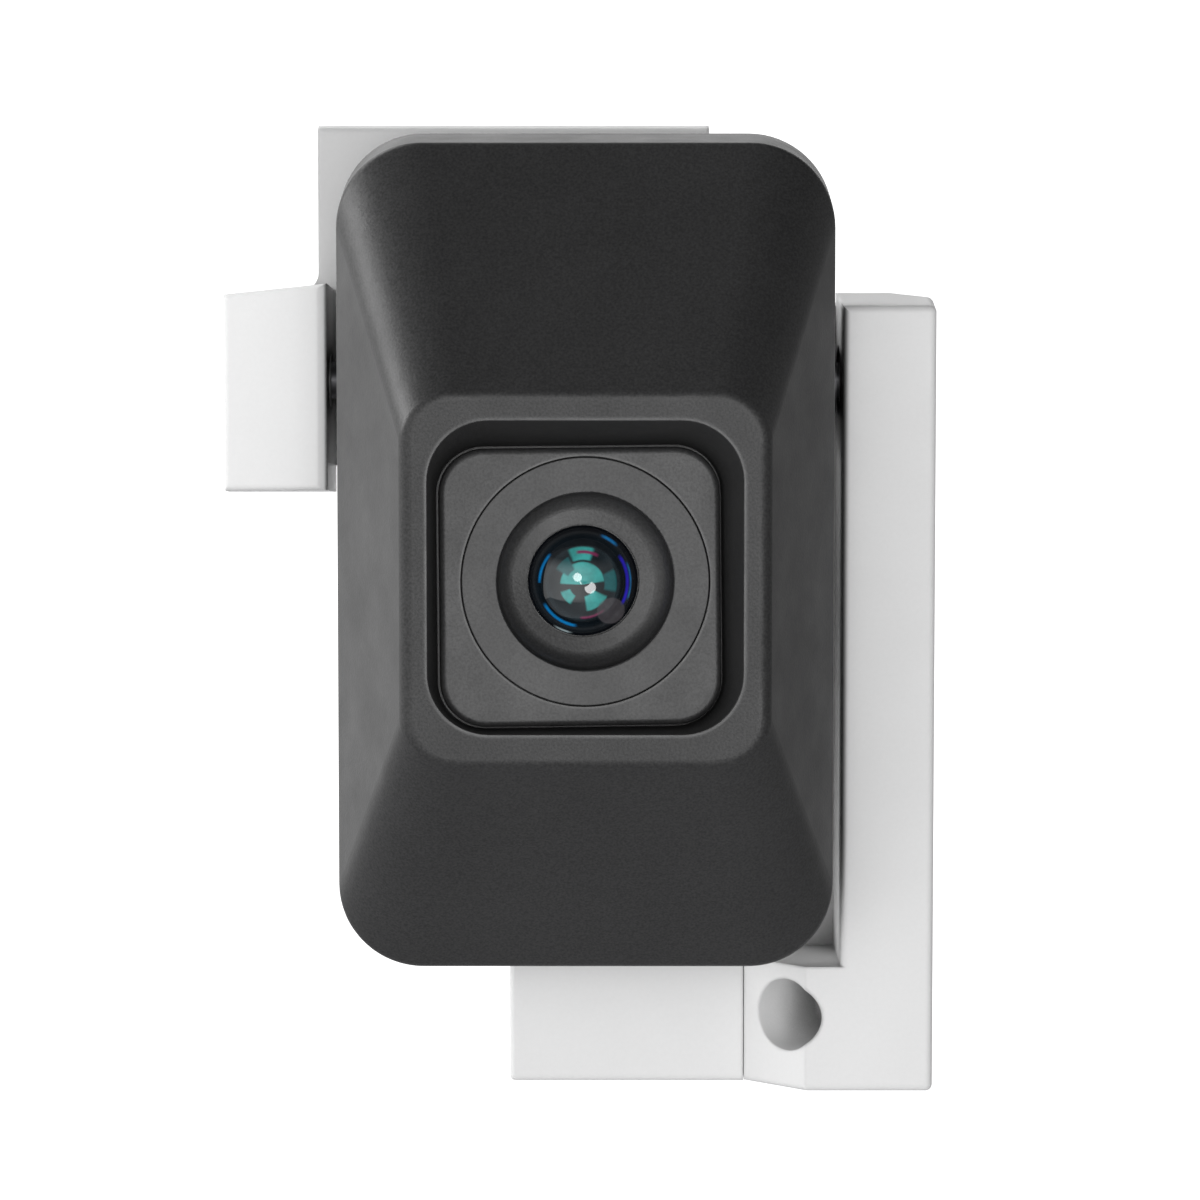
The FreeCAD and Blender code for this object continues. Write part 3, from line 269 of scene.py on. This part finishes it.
FINISH = {
    "wall_plate": WHITE, "left_bracket": WHITE, "right_bracket": WHITE, "lower_cover": WHITE,
    "front_housing": BLACK, "rear_housing": BLACK, "lens_holder": BLACK,
    "lens_plate": PLATE, "lens_bezel": TRIM, "lens_barrel": BARREL, "iris_ring": BARREL,
    "front_lens": GLASS, "rear_lens": GLASS, "sensor_board": BOARD, "image_sensor": SENSOR,
    "pan_pin": STEEL, "pan_nut": STEEL, "upper_pan_washer": STEEL, "lower_pan_washer": STEEL,
    "cable_socket": STEEL, "left_trunnion": SCREW, "right_trunnion": SCREW, "tilt_spring_washer": SCREW,
    "bracket_screws": SCREW, "cover_screws": SCREW, "housing_screws": SCREW, "board_screws": SCREW,
    "pan_bush": BRONZE, "left_tilt_bush": BLACK, "right_tilt_bush": BLACK,
}
for name, item in nodes.items():
    item.data.materials.clear()
    item.data.materials.append(FINISH[name])


# ---------------------------------------------------------------- floor, camera and light

def floor_plane():
    """A wide pale sheet well below the part, which hangs on a wall or post."""
    mesh = bpy.data.meshes.new("floor")
    shape = bmesh.new()
    bmesh.ops.create_grid(shape, x_segments=1, y_segments=1, size=0.6)
    shape.to_mesh(mesh)
    shape.free()
    item = bpy.data.objects.new("floor", mesh)
    bpy.context.scene.collection.objects.link(item)
    item.location = (0.0, 0.0, -0.30)
    material, tree, shader, where = new_material("pale_floor")
    tone = tree.noise(where, 6.0, 3.0, 0.5)
    tree.put(shader.inputs["Base Color"], tree.mix(tone, (0.56, 0.56, 0.57), (0.60, 0.60, 0.61)))
    shader.inputs["Roughness"].default_value = 0.8
    mesh.materials.append(material)


def camera():
    pitch, distance, aim_depth = math.radians(8.5), 0.640, 0.029
    data = bpy.data.cameras.new("camera")
    data.lens = 240.0
    data.sensor_width = 36.0
    data.clip_start = 0.05
    item = bpy.data.objects.new("camera", data)
    bpy.context.scene.collection.objects.link(item)
    item.location = (1.12 * MM, -aim_depth - distance * math.cos(pitch), distance * math.sin(pitch))
    item.rotation_euler = (math.radians(90.0) - pitch, 0.0, 0.0)
    bpy.context.scene.camera = item


LAMP_DISTANCE = 0.7
LAMP_TARGET = Vector((0.0, -0.035, 0.003))


def softbox(name, power, size, azimuth, elevation, height=None, shape="RECTANGLE"):
    """An area light that faces the head. Azimuth 0 is in front of the lens and 90 is on the right."""
    data = bpy.data.lights.new(name, "AREA")
    data.energy = power
    data.shape = shape
    data.size = size
    if shape == "RECTANGLE":
        data.size_y = height or size
    item = bpy.data.objects.new(name, data)
    bpy.context.scene.collection.objects.link(item)
    turn, rise = math.radians(azimuth), math.radians(elevation)
    away = Vector((math.sin(turn) * math.cos(rise), -math.cos(turn) * math.cos(rise), math.sin(rise)))
    item.location = LAMP_TARGET + away * LAMP_DISTANCE
    item.rotation_euler = (-away).to_track_quat("-Z", "Y").to_euler()


def studio():
    """White surround, bright in a band round the horizon and on the left, and dim above and below."""
    world = bpy.data.worlds.new("studio")
    bpy.context.scene.world = world
    bpy.context.scene.view_settings.view_transform = "Standard"
    world.use_nodes = True
    tree = Tree(world.node_tree)
    where = tree.add("ShaderNodeTexCoord").outputs["Generated"]
    axes = tree.add("ShaderNodeSeparateXYZ", {"Vector": where})
    height = tree.math("ABSOLUTE", axes.outputs["Z"])
    band = tree.ramp(height, [(0.0, 1.0), (0.38, 1.0), (0.60, 0.14), (1.0, 0.08)])
    across = tree.span(axes.outputs["X"], -1.0, 1.0, 0.0, 1.0)
    side = tree.ramp(across, [(0.0, 0.70), (0.14, 0.70), (0.30, 0.94), (0.50, 0.92), (0.62, 0.66), (0.74, 0.28),
                              (0.90, 0.17), (1.0, 0.13)])
    both = tree.math("MULTIPLY", tree.add("ShaderNodeRGBToBW", {"Color": band}).outputs[0],
                     tree.add("ShaderNodeRGBToBW", {"Color": side}).outputs[0])
    background = tree.add("ShaderNodeBackground", {"Color": (1.0, 1.0, 1.0, 1.0),
                                                   "Strength": tree.math("MULTIPLY", both, 1.55)})
    output = tree.add("ShaderNodeOutputWorld")
    tree.tree.links.new(background.outputs[0], output.inputs["Surface"])


floor_plane()
camera()
studio()
softbox("spark_front", 0.55, 0.16, -2.2, 10.9, shape="DISK")
softbox("spark_right", 0.9, 0.21, 17.5, -5.7, shape="DISK")
softbox("rim_back_left", 1.2, 0.30, 220.0, 45.0)
softbox("window_left", 2.3, 0.18, -97.0, 22.0, height=0.34)
